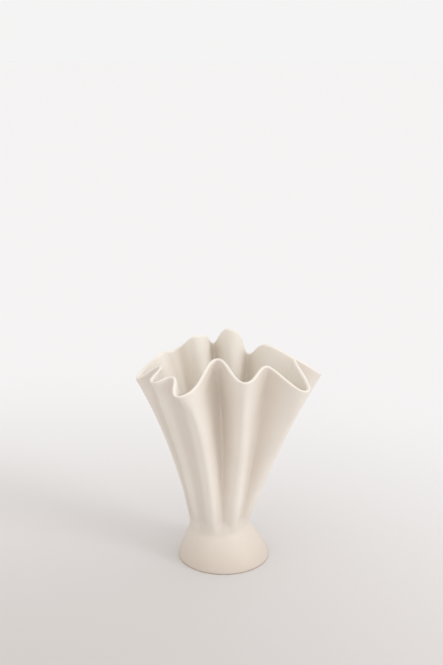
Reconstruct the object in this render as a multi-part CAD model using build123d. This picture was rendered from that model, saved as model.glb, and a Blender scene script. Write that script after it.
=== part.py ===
from build123d import *
from math import cos, hypot, radians, sin
import os

import numpy as np

os.makedirs("parts", exist_ok=True)

# Hand-built ceramic fan vase: a fluted wall flaring to a ruffled oval mouth, standing on a
# floor slab over a hollow domed foot, with a coil of clay worked round the waist.
# Millimetres. Z is up, X to the right, Y to the back, origin on the table under the foot.

# Foot: an open-topped dome that leans a little to the left towards its top
FOOT_RADIUS = 55.5
FOOT_HEIGHT = 40.0
FOOT_WALL = 6.5
FOOT_EDGE_ROUND = 2.0
DOME_ROUNDNESS = 1.4
DOME_ROWS = 5
FOOT_SIDES = 60
WAIST_SHIFT = -5.9

# Cup: floor slab, then the wall, measured on the middle of its thickness
SLAB_THICKNESS = 5.0
WAIST_RADIUS = 30.8
FLUTE_DEPTH = 2.0
WALL_AT_WAIST = 4.6
WALL_AT_LIP = 4.0
MOUTH_WIDTH = 210.0
MOUTH_DEPTH = 158.0
MOUTH_SHIFT = 4.5
RIM_HEIGHT = 246.5
FLARE = 0.25
FLANK_BULGE = 0.1

# Coil at the waist: how far it bulges, and how far it runs down the dome
COIL_BULGE = 0.2
COIL_DROP = 6.0
COIL_ROWS = 4
SHOULDER_MARGIN = 0.4

# The ruffle, from the front middle round to the right. Each row is an outward lobe and then
# the inward fold beside it: across and back as parts of half the mouth, rise above the rim
# height, the breadth over which it turns, its bearing at the waist in degrees, and how far
# down the wall it runs: 1 is all the way, and less is a short wave that dies out.
RUFFLE = [
    ((0.165, -0.99, 4.5, 12, 30, 1), (0.425, -0.62, 10.5, 10, 57, 1)),
    ((0.82, -0.77, -11.0, 14, 77, 1), (0.755, -0.13, 6.0, 11, 92, 1)),
    ((1.00, 0.18, -16.0, 18, 108, 1), (0.52, 0.56, 7.5, 15, 127, 1)),
    ((0.28, 0.88, -8.0, 8, 147, 1), (0.06, 0.67, 25.0, 13, 167, 1)),
    ((-0.18, 0.94, 5.0, 7, 187, 1), (-0.32, 0.62, 19.0, 7, 207, 1)),
    ((-0.60, 0.76, -1.5, 15, 227, 1), (-0.77, 0.29, 3.0, 12, 247, 1)),
    ((-1.00, 0.01, -17.5, 12, 267, 1), (-0.76, -0.23, 1.0, 11, 287, 0.3)),
    ((-0.81, -0.54, -7.5, 9, 307, 0.3), (-0.60, -0.65, -1.0, 9, 327, 0.3)),
    ((-0.455, -1.00, -9.5, 17, 347, 1), (-0.125, -0.46, 14.5, 11, 366, 1)),
]

# A turn of the ruffle takes one share of the way round and the flank after it two. The wall
# is ruled in narrow strips, so many to a turn and to a flank, in so many rows up its height.
TURN_SHARE = 1.0
FLANK_SHARE = 2.0
TURN_STRIPS = 4
FLANK_STRIPS = 5
ROWS = 4
LIP_STRIPS = 3

TURN_LIST = [turn for pair in RUFFLE for turn in pair]
TURNS = len(TURN_LIST)
SHARES = [TURN_SHARE, FLANK_SHARE] * TURNS
STATIONS = len(SHARES)
STRIPS = [TURN_STRIPS, FLANK_STRIPS] * TURNS

seat_z = FOOT_HEIGHT + SLAB_THICKNESS
crest_radius = WAIST_RADIUS + FLUTE_DEPTH + WALL_AT_WAIST / 2
shoulder_radius = crest_radius + SHOULDER_MARGIN


def rim_stations():
    """Two points for every lobe and fold, at the ends of its turn."""
    middles = []
    for across, back, rise, *_ in TURN_LIST:
        x = across * MOUTH_WIDTH / 2
        middles.append(np.array([x, back * MOUTH_DEPTH / 2, RIM_HEIGHT + rise]))
    stations = []
    for k, turn in enumerate(TURN_LIST):
        along = middles[(k + 1) % TURNS] - middles[k - 1]
        half = along / np.linalg.norm(along) * turn[3] / 2
        stations += [middles[k] - half, middles[k] + half]
    return np.array(stations)


def waist_stations():
    """The same points on the waist, which has a flute for every wave that runs down to it."""
    stations = []
    half_turn = 180 * TURN_SHARE / sum(SHARES)
    for k, (*_, bearing, run) in enumerate(TURN_LIST):
        flute = FLUTE_DEPTH if k % 2 == 0 else -FLUTE_DEPTH
        radius = WAIST_RADIUS + (flute if run == 1 else 0)
        for end in (radians(bearing - half_turn), radians(bearing + half_turn)):
            stations.append([radius * sin(end), -radius * cos(end), seat_z])
    return np.array(stations)


def station_runs():
    """How far down each point's wave runs: the side next to a short wave goes with it."""
    runs = []
    for k, turn in enumerate(TURN_LIST):
        runs.append(min(turn[5], TURN_LIST[k - 1][5]))
        runs.append(min(turn[5], TURN_LIST[(k + 1) % TURNS][5]))
    return np.array(runs)


def calm_stations():
    """The rim without its short waves, bulged a little between the long ones beside them."""
    calm = RIM.copy()
    marks = np.cumsum(SHARES) - SHARES
    long_ones = np.flatnonzero(RUNS == 1)
    for k in np.flatnonzero(RUNS < 1):
        first = long_ones[long_ones < k][-1]
        last = long_ones[long_ones > k][0]
        share = (marks[k] - marks[first]) / (marks[last] - marks[first])
        chord = RIM[first] + (RIM[last] - RIM[first]) * share
        calm[k, :2] = chord[:2] * (1 + FLANK_BULGE * 4 * share * (1 - share))
    return calm


RIM = rim_stations()
WAIST = waist_stations()
RUNS = station_runs()
CALM_RIM = calm_stations()


def middle_stations(climb):
    """Middle of the wall at a share of its climb, on an axis that swings over to the mouth."""
    reach = (1 - FLARE) * climb + FLARE * climb**2
    kept = np.where(RUNS < 1, np.clip(1 - (1 - climb) / RUNS, 0, 1) ** 2, 1)
    rim = CALM_RIM + (RIM - CALM_RIM) * kept[:, None]
    points = WAIST + (rim - WAIST) * reach
    points[:, 0] += MOUTH_SHIFT + (WAIST_SHIFT - MOUTH_SHIFT) * (1 - climb) ** 2
    points[:, 2] = WAIST[:, 2] + (RIM[:, 2] - WAIST[:, 2]) * climb
    return points


def spline_slopes(points):
    """Slope at each station of the smooth closed curve through them all."""
    rows = np.zeros((STATIONS, STATIONS))
    sides = np.zeros((STATIONS, 3))
    for k in range(STATIONS):
        after = (k + 1) % STATIONS
        rows[k, k - 1] = 1 / SHARES[k - 1]
        rows[k, k] = 2 / SHARES[k - 1] + 2 / SHARES[k]
        rows[k, after] = 1 / SHARES[k]
        sides[k] = 3 * (points[k] - points[k - 1]) / SHARES[k - 1] ** 2
        sides[k] += 3 * (points[after] - points[k]) / SHARES[k] ** 2
    return np.linalg.solve(rows, sides)


def wall_line(climb):
    """Corners of the wall's middle outline, with the level way out of the wall at each."""
    points = middle_stations(climb)
    slopes = spline_slopes(points)
    corners = []
    outward = []
    for k in range(STATIONS):
        after = (k + 1) % STATIONS
        lead = slopes[k] * SHARES[k] / 3
        trail = slopes[after] * SHARES[k] / 3
        stretch = Bezier(points[k], points[k] + lead, points[after] - trail, points[after])
        for j in range(STRIPS[k]):
            corners.append(stretch.position_at(j / STRIPS[k]))
            along = stretch.tangent_at(j / STRIPS[k])
            span = hypot(along.X, along.Y)
            outward.append(Vector(along.Y / span, -along.X / span, 0))
    return corners, outward


def half_wall(climb):
    return (WALL_AT_WAIST + (WALL_AT_LIP - WALL_AT_WAIST) * climb) / 2


def wall_outline(climb, side):
    """Closed outline of the wall's outer (+1) or inner (-1) face."""
    corners, outward = wall_line(climb)
    points = [p + d * side * half_wall(climb) for p, d in zip(corners, outward)]
    return Wire.make_polygon(points, close=True)


def lip_outline(angle):
    """Outline on the rounded lip, from 0 at the outer face over the top to 180 at the inner."""
    high, outward = wall_line(1.0)
    low, _ = wall_line(0.95)
    reach = half_wall(1.0)
    points = []
    for top, below, out in zip(high, low, outward):
        climb = (top - below).normalized()
        points.append(top + out * reach * cos(radians(angle)) + climb * reach * sin(radians(angle)))
    return Wire.make_polygon(points, close=True)


# Fluted wall: outer face, rounded lip, inner face and the flat ring it stands on
climbs = [row / ROWS for row in range(ROWS + 1)]
outer = [wall_outline(climb, 1) for climb in climbs]
inner = [wall_outline(climb, -1) for climb in climbs]
lip = [lip_outline(180 * k / LIP_STRIPS) for k in range(1, LIP_STRIPS)]
wall_faces = Shell.make_loft(outer, ruled=True).faces()
wall_faces += Shell.make_loft([outer[-1], *lip, inner[-1]], ruled=True).faces()
wall_faces += Shell.make_loft(inner, ruled=True).faces()
wall_faces += [Face(outer[0], [inner[0]])]
fluted_wall = Solid(Shell(wall_faces))
export_step(fluted_wall, "parts/fluted_wall.step")


def disc(z, radius):
    """Many-sided disc on the axis that leans from the table to the waist."""
    x = WAIST_SHIFT * min(z / FOOT_HEIGHT, 1) ** 2
    return Pos(x, 0, z) * RegularPolygon(radius, FOOT_SIDES)


# Cup floor: a round slab under the wall
cup_floor = extrude(disc(FOOT_HEIGHT, crest_radius), SLAB_THICKNESS)
export_step(cup_floor, "parts/cup_floor.step")


def dome_radius(z):
    return shoulder_radius + (FOOT_RADIUS - shoulder_radius) * (1 - (z / FOOT_HEIGHT) ** DOME_ROUNDNESS)


def dome(inset, rounding):
    """Solid dome drawn in by an inset, its lower edge rounded inwards (+) or outwards (-)."""
    edge = [FOOT_EDGE_ROUND * (1 - cos(radians(angle))) for angle in (0, 45, 90)]
    sections = []
    for z, angle in zip(edge, (0, 45, 90)):
        turn_in = rounding * FOOT_EDGE_ROUND * (1 - sin(radians(angle)))
        sections.append(disc(z, dome_radius(z) - inset - turn_in))
    for row in range(1, DOME_ROWS + 1):
        z = FOOT_EDGE_ROUND + (FOOT_HEIGHT - FOOT_EDGE_ROUND) * row / DOME_ROWS
        sections.append(disc(z, dome_radius(z) - inset))
    return loft(sections, ruled=True)


# Domed foot: hollow from below, its top ring carrying the slab
foot_filled = dome(0, 1)
domed_foot = foot_filled - dome(FOOT_WALL, -1)
export_step(domed_foot, "parts/domed_foot.step")

# Waist coil: a ring over the slab's edge, less the dome and the slab that it is pressed on to
coil_low_z = FOOT_HEIGHT - COIL_DROP
coil_sections = []
for row in range(COIL_ROWS + 1):
    climb = row / COIL_ROWS
    straight = dome_radius(coil_low_z) + (crest_radius - dome_radius(coil_low_z)) * climb
    z = coil_low_z + (seat_z - coil_low_z) * climb
    coil_sections.append(disc(z, straight + COIL_BULGE * sin(radians(180 * climb))))
waist_coil = loft(coil_sections, ruled=True) - foot_filled - cup_floor
export_step(waist_coil, "parts/waist_coil.step")
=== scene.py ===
import math

import bmesh
import bpy
import numpy as np
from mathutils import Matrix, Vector, noise


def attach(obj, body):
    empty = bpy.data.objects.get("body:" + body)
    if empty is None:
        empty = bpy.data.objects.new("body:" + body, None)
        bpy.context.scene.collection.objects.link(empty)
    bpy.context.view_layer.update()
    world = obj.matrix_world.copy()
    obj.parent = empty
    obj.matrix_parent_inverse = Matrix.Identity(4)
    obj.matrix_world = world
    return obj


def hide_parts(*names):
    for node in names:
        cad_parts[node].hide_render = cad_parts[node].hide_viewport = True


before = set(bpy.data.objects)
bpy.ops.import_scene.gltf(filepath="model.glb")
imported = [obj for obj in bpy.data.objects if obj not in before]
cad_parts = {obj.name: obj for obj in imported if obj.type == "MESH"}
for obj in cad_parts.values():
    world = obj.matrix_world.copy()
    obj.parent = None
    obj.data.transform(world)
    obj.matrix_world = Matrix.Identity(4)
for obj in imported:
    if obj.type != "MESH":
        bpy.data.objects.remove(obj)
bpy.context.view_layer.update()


# Domed foot: a thick hollow dome of stoneware, thrown upside down and trimmed, which leans a
# little to the left. It is glazed with the rest, and the ring that it stands on is wiped bare
# so that it doesn't stick to the kiln shelf.
MM = 0.001
FOOT_RADIUS = 55.5 * MM
FOOT_HEIGHT = 40.0 * MM
FOOT_WALL = 6.5 * MM
FOOT_EDGE_ROUND = 2.0 * MM
FOOT_EDGE_ROWS = 7
DOME_ROUNDNESS = 1.4
DOME_ROWS = 30
FOOT_COLUMNS = 216
SHOULDER_RADIUS = 35.5 * MM
WAIST_SHIFT = -5.9 * MM
BARE_HEIGHT = 0.6 * MM
# Height above the table below which the vase is painted darker towards the table, as painted shade
PAINTED_SHADE_TOP = 90.0 * MM
# Broad swells and small dabs that the hand has left in the clay
SWELL_HEIGHT = 0.22 * MM
SWELL_SPREAD = 24.0 * MM
DAB_HEIGHT = 0.07 * MM
DAB_SPREAD = 7.0 * MM


def pressed(point):
    """How far a point of hand-pressed clay stands out of true, none where the foot rests."""
    swell = noise.noise(point / SWELL_SPREAD) * SWELL_HEIGHT
    dab = noise.noise(point / DAB_SPREAD) * DAB_HEIGHT
    return (swell + dab) * min(max(point.z / FOOT_EDGE_ROUND - 1, 0), 1)


def clay_piece(name, rings, capped=False):
    """Closed piece of clay from rings of points, laid round it one after another."""
    clay = bmesh.new()
    verts = [[clay.verts.new(point) for point in ring] for ring in rings]
    columns = len(verts[0])
    for i in range(len(verts) - (1 if capped else 0)):
        ring = verts[i]
        after = verts[(i + 1) % len(verts)]
        for j in range(columns):
            k = (j + 1) % columns
            clay.faces.new((ring[j], ring[k], after[k], after[j]))
    if capped:
        clay.faces.new(verts[0])
        clay.faces.new(verts[-1])
    bmesh.ops.recalc_face_normals(clay, faces=clay.faces)
    clay.normal_update()
    moves = [vert.normal * pressed(vert.co) for vert in clay.verts]
    for vert, move in zip(clay.verts, moves):
        vert.co += move
    mesh = bpy.data.meshes.new(name)
    clay.to_mesh(mesh)
    clay.free()
    mesh.shade_smooth()
    piece = bpy.data.objects.new(name, mesh)
    bpy.context.scene.collection.objects.link(piece)
    return piece


def mark(piece, name, values):
    """Writes one number for each point of a piece, for its material to read."""
    attribute = piece.data.attributes.new(name, "FLOAT", "POINT")
    attribute.data.foreach_set("value", np.asarray(values, np.float32).ravel())


def dome_radius(z):
    """Outer radius of the dome at a height."""
    climb = (z / FOOT_HEIGHT) ** DOME_ROUNDNESS
    return SHOULDER_RADIUS + (FOOT_RADIUS - SHOULDER_RADIUS) * (1 - climb)


def lean(z):
    """How far the axis has leaned over at a height, from the table up to the waist."""
    return WAIST_SHIFT * np.minimum(z / FOOT_HEIGHT, 1) ** 2


def level_ring(z, radius, columns):
    """Points of a level circle about the leaning axis, from the front round to the right."""
    bearings = np.arange(columns) / columns * 2 * math.pi
    x = radius * np.sin(bearings) + lean(z)
    return np.stack([x, -radius * np.cos(bearings), np.full(columns, z)], axis=1)


def painted_shade_below(z):
    """How much painted shade there is at a height, from 1 at the table to 0 at the top of it."""
    return np.clip(1 - z / PAINTED_SHADE_TOP, 0, 1)


foot_edge = np.radians(np.linspace(0, 90, FOOT_EDGE_ROWS))
foot_profile = []
for angle in foot_edge:
    z = FOOT_EDGE_ROUND * (1 - math.cos(angle))
    foot_profile.append((z, dome_radius(z) - FOOT_EDGE_ROUND * (1 - math.sin(angle))))
for z in np.linspace(FOOT_EDGE_ROUND, FOOT_HEIGHT, DOME_ROWS)[1:]:
    foot_profile.append((z, dome_radius(z)))
for z in np.linspace(FOOT_HEIGHT, FOOT_EDGE_ROUND, DOME_ROWS):
    foot_profile.append((z, dome_radius(z) - FOOT_WALL))
for angle in foot_edge[-2::-1]:
    z = FOOT_EDGE_ROUND * (1 - math.cos(angle))
    inner = dome_radius(z) - FOOT_WALL
    foot_profile.append((z, inner + FOOT_EDGE_ROUND * (1 - math.sin(angle))))
foot_heights = np.array([z for z, _ in foot_profile])
domed_foot = clay_piece("domed_foot_clay", [level_ring(z, r, FOOT_COLUMNS) for z, r in foot_profile])
mark(domed_foot, "bare", np.repeat(foot_heights < BARE_HEIGHT, FOOT_COLUMNS))
# The foot is painted darker towards the table, as painted shade.
mark(domed_foot, "painted_shade", np.repeat(painted_shade_below(foot_heights), FOOT_COLUMNS))


def linear(hex_colour):
    """sRGB hex colour as the linear RGBA that a shader takes."""
    parts = [int(hex_colour[k:k + 2], 16) / 255 for k in (1, 3, 5)]
    return [p / 12.92 if p <= 0.04045 else ((p + 0.055) / 1.055) ** 2.4 for p in parts] + [1.0]


def add(tree, kind, settings, links):
    """Adds a node, with settings by attribute or input, and links from (node, output)."""
    made = tree.nodes.new(kind)
    for name, value in settings.items():
        if isinstance(name, int) or name in made.inputs:
            made.inputs[name].default_value = value
        else:
            setattr(made, name, value)
    for name, (source, output) in links.items():
        tree.links.new(source.outputs[output], made.inputs[name])
    return made


# Satin-matt ivory glaze on stoneware, dipped and fired: a smooth, waxy surface without a sharp
# gleam. It is painted deeper in tone towards the table and in the folds, as painted shade, and
# painted paler in the lining and over the lip, as painted light. Faint clouds, a fine sand and a
# few iron specks show in it, and the bare clay of the resting ring is buff and dry.
GLAZE = "#EDE6DD"
GLAZE_CLOUD = "#E8E0D6"
# Colour of the painted shade, towards the table and in the creases
GLAZE_PAINTED_SHADE = "#CFC3B7"
# Colour of the painted light on the lining and the lip
LINING_PAINTED_LIGHT = "#EFE9E0"
SPECK = "#C4B19B"
BARE_CLAY = "#C2A98D"
GLAZE_IOR = 1.5
GLAZE_ROUGHNESS = 0.45
CLOUD_ROUGHNESS = 0.57
BARE_DRYNESS = 0.35
CLOUD_SIZE = 45.0 * MM
CLOUD_CONTRAST = 0.75
# Levels of the noise at which a cloud starts to dull the gleam, starts to show and is full
CLOUD_DULLS = 0.3
CLOUD_STARTS = 0.35
CLOUD_FULL = 0.7
# The sand is about 0.3 mm and is drawn at 2 mm, because finer doesn't show in the render
SAND_SIZE = 2.0 * MM
SAND_HEIGHT = 0.03 * MM
SPECK_SPACING = 16.0 * MM
SPECK_RADIUS = 0.55 * MM
SPECK_CORE_RADIUS = SPECK_RADIUS / 2
SPECK_SHARE = 0.4

ivory_glaze = bpy.data.materials.new("satin_ivory_glaze_on_stoneware")
ivory_glaze.use_nodes = True
tree = ivory_glaze.node_tree
tree.nodes.clear()
place = add(tree, "ShaderNodeTexCoord", {}, {})
cloud = add(tree, "ShaderNodeTexNoise", {"Scale": 1 / CLOUD_SIZE, "Detail": 4.0, "Roughness": 0.55},
            {"Vector": (place, "Object")})
cloud_share = add(tree, "ShaderNodeMapRange",
                  {"From Min": CLOUD_STARTS, "From Max": CLOUD_FULL, "To Max": CLOUD_CONTRAST},
                  {"Value": (cloud, 0)})
clouded = add(tree, "ShaderNodeMix",
              {"data_type": "RGBA", 6: linear(GLAZE), 7: linear(GLAZE_CLOUD)}, {0: (cloud_share, 0)})
# Painted shade: darker towards the table, in the folds outside and in the lobes inside
painted_shade = add(tree, "ShaderNodeAttribute", {"attribute_name": "painted_shade"}, {})
with_painted_shade = add(tree, "ShaderNodeMix", {"data_type": "RGBA", 7: linear(GLAZE_PAINTED_SHADE)},
             {0: (painted_shade, "Fac"), 6: (clouded, 2)})
cells = add(tree, "ShaderNodeTexVoronoi", {"Scale": 1 / SPECK_SPACING}, {"Vector": (place, "Object")})
speck = add(tree, "ShaderNodeMapRange",
            {"From Min": SPECK_RADIUS / SPECK_SPACING, "From Max": SPECK_CORE_RADIUS / SPECK_SPACING},
            {"Value": (cells, "Distance")})
chosen = add(tree, "ShaderNodeMath", {"operation": "LESS_THAN", 1: SPECK_SHARE}, {0: (cells, "Color")})
speck_share = add(tree, "ShaderNodeMath", {"operation": "MULTIPLY"}, {0: (speck, 0), 1: (chosen, 0)})
specked = add(tree, "ShaderNodeMix", {"data_type": "RGBA", 7: linear(SPECK)},
              {0: (speck_share, 0), 6: (with_painted_shade, 2)})
# Painted light: the lining and the lip paler, the pale attribute being painted light
pale = add(tree, "ShaderNodeAttribute", {"attribute_name": "pale"}, {})
with_painted_light = add(tree, "ShaderNodeMix", {"data_type": "RGBA", 7: linear(LINING_PAINTED_LIGHT)},
            {0: (pale, "Fac"), 6: (specked, 2)})
bare = add(tree, "ShaderNodeAttribute", {"attribute_name": "bare"}, {})
coloured = add(tree, "ShaderNodeMix", {"data_type": "RGBA", 7: linear(BARE_CLAY)},
               {0: (bare, "Fac"), 6: (with_painted_light, 2)})
waxy = add(tree, "ShaderNodeMapRange",
           {"From Min": CLOUD_DULLS, "From Max": CLOUD_FULL,
            "To Min": GLAZE_ROUGHNESS, "To Max": CLOUD_ROUGHNESS},
           {"Value": (cloud, 0)})
dry = add(tree, "ShaderNodeMath", {"operation": "MULTIPLY_ADD", 1: BARE_DRYNESS},
          {0: (bare, "Fac"), 2: (waxy, 0)})
sand = add(tree, "ShaderNodeTexNoise", {"Scale": 1 / SAND_SIZE, "Detail": 3.0},
           {"Vector": (place, "Object")})
grain = add(tree, "ShaderNodeBump", {"Strength": 1.0, "Distance": SAND_HEIGHT}, {"Height": (sand, 0)})
glaze = add(tree, "ShaderNodeBsdfPrincipled", {"IOR": GLAZE_IOR},
            {"Base Color": (coloured, 2), "Roughness": (dry, 0), "Normal": (grain, 0)})
add(tree, "ShaderNodeOutputMaterial", {}, {"Surface": (glaze, 0)})


def glazed(piece, node):
    """Gives a clay piece its glaze, and its place on the vase in the stead of a solid."""
    piece.data.materials.append(ivory_glaze)
    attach(piece, "root")
    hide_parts(node)


glazed(domed_foot, "domed_foot")


# Cup floor: a round slab of rolled clay laid on the dome's top ring, which closes the vessel.
# Its cut edge is softened with a damp sponge.
SLAB_THICKNESS = 5.0 * MM
SLAB_RADIUS = 34.0 * MM
# Radius of the one round face at the middle of its top and of its underside
SLAB_CENTRE = 4.0 * MM
SLAB_ROWS = 7
SLAB_EDGE_ROUND = 0.8 * MM
SLAB_EDGE_ROWS = 6
SLAB_COLUMNS = 144
seat_z = FOOT_HEIGHT + SLAB_THICKNESS

slab_radii = np.linspace(SLAB_CENTRE, SLAB_RADIUS - SLAB_EDGE_ROUND, SLAB_ROWS)
slab_edge = np.radians(np.linspace(90, 0, SLAB_EDGE_ROWS))
slab_profile = [(seat_z, r) for r in slab_radii]
for angle in slab_edge[1:]:
    inset = SLAB_EDGE_ROUND * (1 - math.cos(angle))
    slab_profile.append((seat_z - SLAB_EDGE_ROUND * (1 - math.sin(angle)), SLAB_RADIUS - inset))
for angle in slab_edge[::-1]:
    inset = SLAB_EDGE_ROUND * (1 - math.cos(angle))
    slab_profile.append((FOOT_HEIGHT + SLAB_EDGE_ROUND * (1 - math.sin(angle)), SLAB_RADIUS - inset))
slab_profile += [(FOOT_HEIGHT, r) for r in slab_radii[-2::-1]]
slab_rings = [level_ring(z, r, SLAB_COLUMNS) for z, r in slab_profile]
cup_floor = clay_piece("cup_floor_slab", slab_rings, capped=True)
glazed(cup_floor, "cup_floor")


# Fluted wall: one thin sheet of clay, stood on the slab, pleated by hand and flared to a ruffled
# oval mouth. Nine outward lobes and nine inward folds run down from the lip into shallow flutes
# at the waist. The lip is rounded with a wet finger.
WAIST_RADIUS = 30.8 * MM
FLUTE_DEPTH = 2.0 * MM
WALL_AT_WAIST = 4.6 * MM
WALL_AT_LIP = 4.0 * MM
MOUTH_WIDTH = 210.0 * MM
MOUTH_DEPTH = 158.0 * MM
MOUTH_SHIFT = 4.5 * MM
RIM_HEIGHT = 246.5 * MM
# Part of the flare that comes late in the climb, and the bulge of the flank below short waves
FLARE = 0.25
FLANK_BULGE = 0.16
# How much sharper the turns are half way up, where a finger has run down each of them, as far as
# the thickness of the wall leaves room for
PINCH = 0.5
LEAST_TURN = 7.0 * MM
# The ruffle, from the front middle round to the right. Each row is an outward lobe and then the
# inward fold beside it: across and back as parts of half the mouth, rise above the rim height
# and the breadth over which it turns, in millimetres, its bearing at the waist in degrees, and
# how far down the wall it runs, from 1, all the way, to a short wave that dies out below the lip.
RUFFLE = [
    ((0.165, -0.99, 4.5, 12, 30, 1), (0.425, -0.62, 10.5, 10, 57, 1)),
    ((0.82, -0.77, -11.0, 14, 77, 1), (0.755, -0.13, 6.0, 11, 92, 1)),
    ((1.00, 0.18, -16.0, 18, 108, 1), (0.49, 0.56, 6.0, 18, 127, 1)),
    ((0.245, 0.88, -9.0, 8, 147, 1), (0.05, 0.67, 24.0, 12, 167, 1)),
    ((-0.165, 0.94, 2.5, 6.5, 187, 1), (-0.335, 0.62, 18.0, 12, 207, 1)),
    ((-0.60, 0.70, 0.0, 15, 227, 1), (-0.77, 0.29, 3.0, 12, 247, 1)),
    ((-1.00, 0.01, -17.5, 12, 267, 1), (-0.76, -0.23, 1.0, 11, 287, 0.3)),
    ((-0.81, -0.54, -7.5, 9, 307, 0.3), (-0.60, -0.65, -1.0, 9, 327, 0.3)),
    ((-0.455, -1.00, -9.5, 17, 347, 1), (-0.125, -0.46, 14.5, 11, 366, 1)),
]
# Shares of the way round that a turn and the flank after it take, and their columns of faces
TURN_SHARE = 1.0
FLANK_SHARE = 2.0
TURN_COLUMNS = 8
FLANK_COLUMNS = 14
WALL_ROWS = 72
LIP_ROWS = 12
# How much of the painted shade the creases take, outside in the folds and inside in the lobes,
# and how much painted light the lining takes, in folds and in lobes
FOLD_PAINTED_SHADE = 0.5
PAINTED_LIGHT_IN_FOLDS = 0.8
PAINTED_LIGHT_IN_LOBES = 0.4

turns = [turn for pair in RUFFLE for turn in pair]
shares = np.array([TURN_SHARE, FLANK_SHARE] * len(turns))
columns_at = [TURN_COLUMNS, FLANK_COLUMNS] * len(turns)
run_of = np.array([run for *_, run in turns])
runs = np.minimum(run_of, [np.roll(run_of, 1), np.roll(run_of, -1)]).T.ravel()
middles = [np.array([across * MOUTH_WIDTH / 2, back * MOUTH_DEPTH / 2, RIM_HEIGHT + rise * MM])
           for across, back, rise, *_ in turns]
half_share = TURN_SHARE / shares.sum() * math.pi
rim = []
waist = []
for k, (_, _, _, breadth, bearing, run) in enumerate(turns):
    along = middles[(k + 1) % len(turns)] - middles[k - 1]
    half_turn = along / np.linalg.norm(along) * breadth * MM / 2
    rim += [middles[k] - half_turn, middles[k] + half_turn]
    flute = 0 if run < 1 else FLUTE_DEPTH if k % 2 == 0 else -FLUTE_DEPTH
    radius = WAIST_RADIUS + flute
    for turned in (math.radians(bearing) - half_share, math.radians(bearing) + half_share):
        waist.append([radius * math.sin(turned), -radius * math.cos(turned), seat_z])
rim = np.array(rim)
waist = np.array(waist)


def arch(share):
    """Rises from 0 at either end of a way to 1 half way along it."""
    return 4 * share * (1 - share)


# The rim without its short waves: bulged a little between the long waves beside them
calm_rim = rim.copy()
marks = np.cumsum(shares) - shares
full = np.flatnonzero(runs >= 1)
for k in np.flatnonzero(runs < 1):
    first = full[full < k][-1]
    last = full[full > k][0]
    share = (marks[k] - marks[first]) / (marks[last] - marks[first])
    chord = rim[first] + (rim[last] - rim[first]) * share
    calm_rim[k, :2] = chord[:2] * (1 + FLANK_BULGE * arch(share))

# The smooth closed curve through the stations of a ring, as a matrix for the slopes at them
before = np.roll(shares, 1)
stations = np.arange(len(shares))
stiffness = np.diag(2 / before + 2 / shares)
stiffness[stations, stations - 1] += 1 / before
stiffness[stations - 1, stations] += 1 / before


def ring_stations(climb):
    """The two ends of every turn at a share of the wall's climb, from the waist to the rim."""
    reach = (1 - FLARE) * climb + FLARE * climb**2
    kept = np.where(runs < 1, np.clip(1 - (1 - climb) / runs, 0, 1) ** 2, 1)[:, None]
    points = waist + (calm_rim + (rim - calm_rim) * kept - waist) * reach
    points[:, 0] += MOUTH_SHIFT + (WAIST_SHIFT - MOUTH_SHIFT) * (1 - climb) ** 2
    points[:, 2] = seat_z + (rim[:, 2] - seat_z) * climb
    ends = points.reshape(-1, 2, 3)
    middle = ends.mean(axis=1, keepdims=True)
    breadths = np.linalg.norm(ends[:, 1:] - ends[:, :1], axis=2, keepdims=True)
    pinched = np.maximum(1 - PINCH * arch(climb), np.minimum(LEAST_TURN / breadths, 1))
    return (middle + (ends - middle) * pinched).reshape(-1, 3)


def wall_line(climb):
    """Middle of the wall at a share of its climb, and the level way out of it, by column."""
    points = ring_stations(climb)
    steps = (np.roll(points, -1, axis=0) - points) / shares[:, None] ** 2
    slopes = np.linalg.solve(stiffness, 3 * (steps + np.roll(steps, 1, axis=0)))
    line = []
    out = []
    for k in stations:
        after = (k + 1) % len(stations)
        lead = slopes[k] * shares[k]
        trail = slopes[after] * shares[k]
        for u in np.arange(columns_at[k]) / columns_at[k]:
            line.append((2 * u**3 - 3 * u**2 + 1) * points[k] + (u**3 - 2 * u**2 + u) * lead
                        + (3 * u**2 - 2 * u**3) * points[after] + (u**3 - u**2) * trail)
            along = ((6 * u**2 - 6 * u) * (points[k] - points[after]) + (3 * u**2 - 4 * u + 1) * lead
                     + (3 * u**2 - 2 * u) * trail)
            out.append(np.array([along[1], -along[0], 0]) / math.hypot(along[0], along[1]))
    return np.array(line), np.array(out)


def half_wall(climb):
    """Half the thickness of the wall at a share of its climb."""
    return (WALL_AT_WAIST + (WALL_AT_LIP - WALL_AT_WAIST) * climb) / 2


climbs = np.linspace(0, 1, WALL_ROWS)
lines = [wall_line(climb) for climb in climbs]
outer_rings = [line + out * half_wall(climb) for climb, (line, out) in zip(climbs, lines)]
inner_rings = [line - out * half_wall(climb) for climb, (line, out) in zip(climbs, lines)]
crown, crown_out = lines[-1]
rising = crown - lines[-2][0]
rising /= np.linalg.norm(rising, axis=1)[:, None]
lip_angles = np.linspace(0, math.pi, LIP_ROWS + 1)[1:-1]
lip_rings = [crown + half_wall(1) * (crown_out * math.cos(a) + rising * math.sin(a)) for a in lip_angles]
fluted_wall = clay_piece("fluted_wall_sheet", outer_rings + lip_rings + inner_rings[::-1])

# How far each column is into a fold, from 0 on a crest to 1 in a fold
across_flank = 0.5 - 0.5 * np.cos(np.pi * np.arange(FLANK_COLUMNS) / FLANK_COLUMNS)
fold = []
for k in range(len(turns)):
    here = k % 2
    there = 1 - here
    fold += [here] * TURN_COLUMNS
    fold += list(here + (there - here) * across_flank)
fold = np.array(fold)

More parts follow.
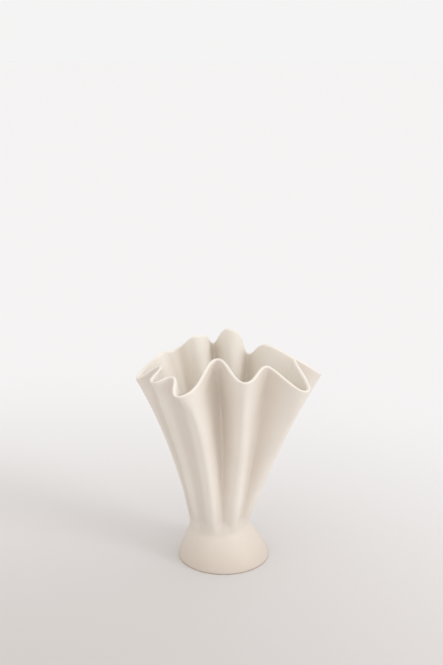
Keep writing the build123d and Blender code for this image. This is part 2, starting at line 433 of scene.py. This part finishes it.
# The lining and the lip are painted paler, as painted light, more on the inward folds than in the lobes.
painted_light_share = PAINTED_LIGHT_IN_LOBES + (PAINTED_LIGHT_IN_FOLDS - PAINTED_LIGHT_IN_LOBES) * fold
over_lip = np.linspace(0, 1, len(lip_rings))
painted_light_rows = np.concatenate([np.zeros(len(outer_rings)), over_lip, np.ones(len(inner_rings))])
mark(fluted_wall, "pale", np.outer(painted_light_rows, painted_light_share))


def outer_painted_shade(ring, on_wall=1):
    """How much painted shade lies along a ring, darker towards the table and in the folds."""
    # run is the painted shade towards the table
    run = painted_shade_below(ring[:, 2])
    return run + (1 - run) * fold * FOLD_PAINTED_SHADE * on_wall


# The lip has no painted shade, and the lining is painted darker in its lobes, as painted shade.
lip_painted_shade = [np.zeros(len(fold))] * len(lip_rings)
inner_painted_shade = [(1 - fold) * FOLD_PAINTED_SHADE] * len(inner_rings)
mark(fluted_wall, "painted_shade", [outer_painted_shade(ring) for ring in outer_rings] + lip_painted_shade + inner_painted_shade)
glazed(fluted_wall, "fluted_wall")


# Waist coil: a soft coil of the same clay, pressed round the waist over the slab's edge and
# smeared down on to the dome and up into the foot of each fold, to weld the three together.
COIL_LOW_Z = 33.0 * MM
COIL_RISE_ON_CREST = 11.0 * MM
COIL_RISE_IN_FOLD = 18.0 * MM
COIL_BULGE = 0.5 * MM
# Depth to which its feathered edges sink into the dome and the wall
COIL_SINK = 0.15 * MM
SHOULDER_SOFTNESS = 1.5 * MM
COIL_ROWS = 28
# Its back, within the clay, lies this far behind its face and repeats every third row of it
COIL_BACK = 2.0 * MM
COIL_BACK_STEP = 3

waist_axis = np.array([WAIST_SHIFT, 0, seat_z])
ways_out = outer_rings[0] - waist_axis
ways_out /= np.linalg.norm(ways_out, axis=1)[:, None]
wall_slope = outer_rings[1] - outer_rings[0]
wall_slope /= wall_slope[:, 2:]
wall_heights = np.array([ring[:, 2] for ring in outer_rings])
coil_top_z = seat_z + COIL_RISE_ON_CREST + (COIL_RISE_IN_FOLD - COIL_RISE_ON_CREST) * fold


def wall_at(z):
    """Outer face of the wall at a height for each column, run on straight below its foot."""
    points = outer_rings[0] + wall_slope * (z - seat_z)[:, None]
    for j in np.flatnonzero(z > seat_z):
        row = np.searchsorted(wall_heights[:, j], z[j])
        low = outer_rings[row - 1][j]
        high = outer_rings[row][j]
        points[j] = low + (high - low) * (z[j] - low[2]) / (high[2] - low[2])
    return points


def dome_at(z):
    """Outer face of the dome at a height for each column, turned up softly at its shoulder."""
    soft_z = FOOT_HEIGHT - SHOULDER_SOFTNESS * np.log1p(np.exp((FOOT_HEIGHT - z) / SHOULDER_SOFTNESS))
    points = ways_out * dome_radius(soft_z)[:, None]
    points[:, 0] += lean(soft_z)
    points[:, 2] = z
    return points


coil_shares = np.linspace(0, 1, COIL_ROWS)
coil_rings = []
for share in coil_shares:
    z = COIL_LOW_Z + (coil_top_z - COIL_LOW_Z) * share
    smeared = 6 * share**5 - 15 * share**4 + 10 * share**3
    stands_out = (COIL_SINK + COIL_BULGE) * math.sin(math.pi * share) ** 2 - COIL_SINK
    coil_rings.append(dome_at(z) * (1 - smeared) + wall_at(z) * smeared + ways_out * stands_out)
coil_rings += [ring - ways_out * COIL_BACK for ring in coil_rings[::-COIL_BACK_STEP]]
on_wall = np.append(coil_shares, coil_shares[::-COIL_BACK_STEP])
waist_coil = clay_piece("waist_coil_smear", coil_rings)
# The coil is painted darker towards the table and into the folds, as painted shade.
mark(waist_coil, "painted_shade", [outer_painted_shade(ring, share) for ring, share in zip(coil_rings, on_wall)])
glazed(waist_coil, "waist_coil")


# Studio: a wide sheet of pale matt paper under soft light from the front and a window on the
# right. The paper is painted darker in front of the vase and to its left, as painted shade, and
# runs on to the horizon.
PAPER_IN_PAINTED_SHADE = "#CCC7C5"
PAPER_FAR = "#EDEDEF"
PAPER_HALF = 12.0
PAPER_PAINTED_SHADE_SPOT = (-0.3, -0.55, 0.0)
PAPER_PAINTED_SHADE_INNER = 0.1
PAPER_PAINTED_SHADE_OUTER = 1.3
PAPER_FIBRE = 3.0 * MM
PAPER_TOOTH = 0.02 * MM

paper_mesh = bpy.data.meshes.new("paper_floor")
corners = [(-PAPER_HALF, -PAPER_HALF, 0), (PAPER_HALF, -PAPER_HALF, 0),
           (PAPER_HALF, PAPER_HALF, 0), (-PAPER_HALF, PAPER_HALF, 0)]
paper_mesh.from_pydata(corners, [], [(0, 1, 2, 3)])
paper = bpy.data.objects.new("paper_floor", paper_mesh)
bpy.context.scene.collection.objects.link(paper)
matt_paper = bpy.data.materials.new("matt_paper")
matt_paper.use_nodes = True
tree = matt_paper.node_tree
tree.nodes.clear()
place = add(tree, "ShaderNodeTexCoord", {}, {})
# Painted shade on the paper, darkest round a spot in front of the vase and to its left
from_spot = add(tree, "ShaderNodeVectorMath", {"operation": "DISTANCE", 1: PAPER_PAINTED_SHADE_SPOT},
                {0: (place, "Object")})
away = add(tree, "ShaderNodeMapRange",
           {"interpolation_type": "SMOOTHSTEP", "From Min": PAPER_PAINTED_SHADE_INNER, "From Max": PAPER_PAINTED_SHADE_OUTER},
           {"Value": (from_spot, "Value")})
paper_with_painted_shade = add(tree, "ShaderNodeMix", {"data_type": "RGBA", 6: linear(PAPER_IN_PAINTED_SHADE), 7: linear(PAPER_FAR)},
            {0: (away, 0)})
fibre = add(tree, "ShaderNodeTexNoise", {"Scale": 1 / PAPER_FIBRE, "Detail": 2.0},
            {"Vector": (place, "Object")})
tooth = add(tree, "ShaderNodeBump", {"Strength": 0.2, "Distance": PAPER_TOOTH}, {"Height": (fibre, 0)})
sheet = add(tree, "ShaderNodeBsdfPrincipled", {"Roughness": 0.95, "Specular IOR Level": 0.1},
            {"Base Color": (paper_with_painted_shade, 2), "Normal": (tooth, 0)})
add(tree, "ShaderNodeOutputMaterial", {}, {"Surface": (sheet, 0)})
paper_mesh.materials.append(matt_paper)

# Soft light from all round, stronger from the front, with a plain pale sky behind the paper
FILL_LIGHT = "#FBF9F6"
FILL_FROM = Vector((0.25, -0.8, 0.55)).normalized()
FILL_FRONT = 1.16
FILL_BACK = 0.75
SKY = "#F5F4F4"
world = bpy.data.worlds.new("studio")
world.use_nodes = True
tree = world.node_tree
tree.nodes.clear()
path = add(tree, "ShaderNodeLightPath", {}, {})
seen = add(tree, "ShaderNodeMath", {"operation": "MAXIMUM"},
           {0: (path, "Is Camera Ray"), 1: (path, "Is Glossy Ray")})
seen_through = add(tree, "ShaderNodeMath", {"operation": "MAXIMUM"},
                   {0: (seen, 0), 1: (path, "Is Transmission Ray")})
heading = add(tree, "ShaderNodeTexCoord", {}, {})
facing = add(tree, "ShaderNodeVectorMath", {"operation": "DOT_PRODUCT", 1: FILL_FROM},
             {0: (heading, "Generated")})
level = add(tree, "ShaderNodeMapRange", {"From Min": -1.0, "To Min": FILL_BACK, "To Max": FILL_FRONT},
            {"Value": (facing, "Value")})
fill = add(tree, "ShaderNodeBackground", {"Color": linear(FILL_LIGHT)}, {"Strength": (level, 0)})
sky = add(tree, "ShaderNodeBackground", {"Color": linear(SKY)}, {})
both = add(tree, "ShaderNodeMixShader", {}, {0: (seen_through, 0), 1: (fill, 0), 2: (sky, 0)})
add(tree, "ShaderNodeOutputWorld", {}, {"Surface": (both, 0)})
bpy.context.scene.world = world

# Window light from the right, as a wide soft sun
LAMP_LIGHT = "#F6F9FF"
LAMP_STRENGTH = 0.72
LAMP_SPREAD = 20.0
LAMP_FROM = Vector((0.87, -0.50, 0.45))
lamp = bpy.data.lights.new("soft_window", "SUN")
lamp.energy = LAMP_STRENGTH
lamp.angle = math.radians(LAMP_SPREAD)
lamp.color = linear(LAMP_LIGHT)[:3]
window = bpy.data.objects.new("soft_window", lamp)
window.rotation_euler = LAMP_FROM.to_track_quat("Z", "Y").to_euler()
bpy.context.scene.collection.objects.link(window)

# Camera at the photograph's place, for a frame of 443 by 665
FOCAL_PIXELS = 1100.0
FRAME_HEIGHT = 665.0
SENSOR = 36.0
CAMERA_PLACE = (-0.00273, -1.2277, 0.6529)
CAMERA_TILT = 73.32
lens = bpy.data.cameras.new("camera")
lens.sensor_width = SENSOR
lens.lens = FOCAL_PIXELS * SENSOR / FRAME_HEIGHT
camera = bpy.data.objects.new("camera", lens)
camera.location = CAMERA_PLACE
camera.rotation_euler = (math.radians(CAMERA_TILT), 0, 0)
bpy.context.scene.collection.objects.link(camera)
bpy.context.scene.camera = camera
bpy.context.scene.view_settings.view_transform = "Standard"
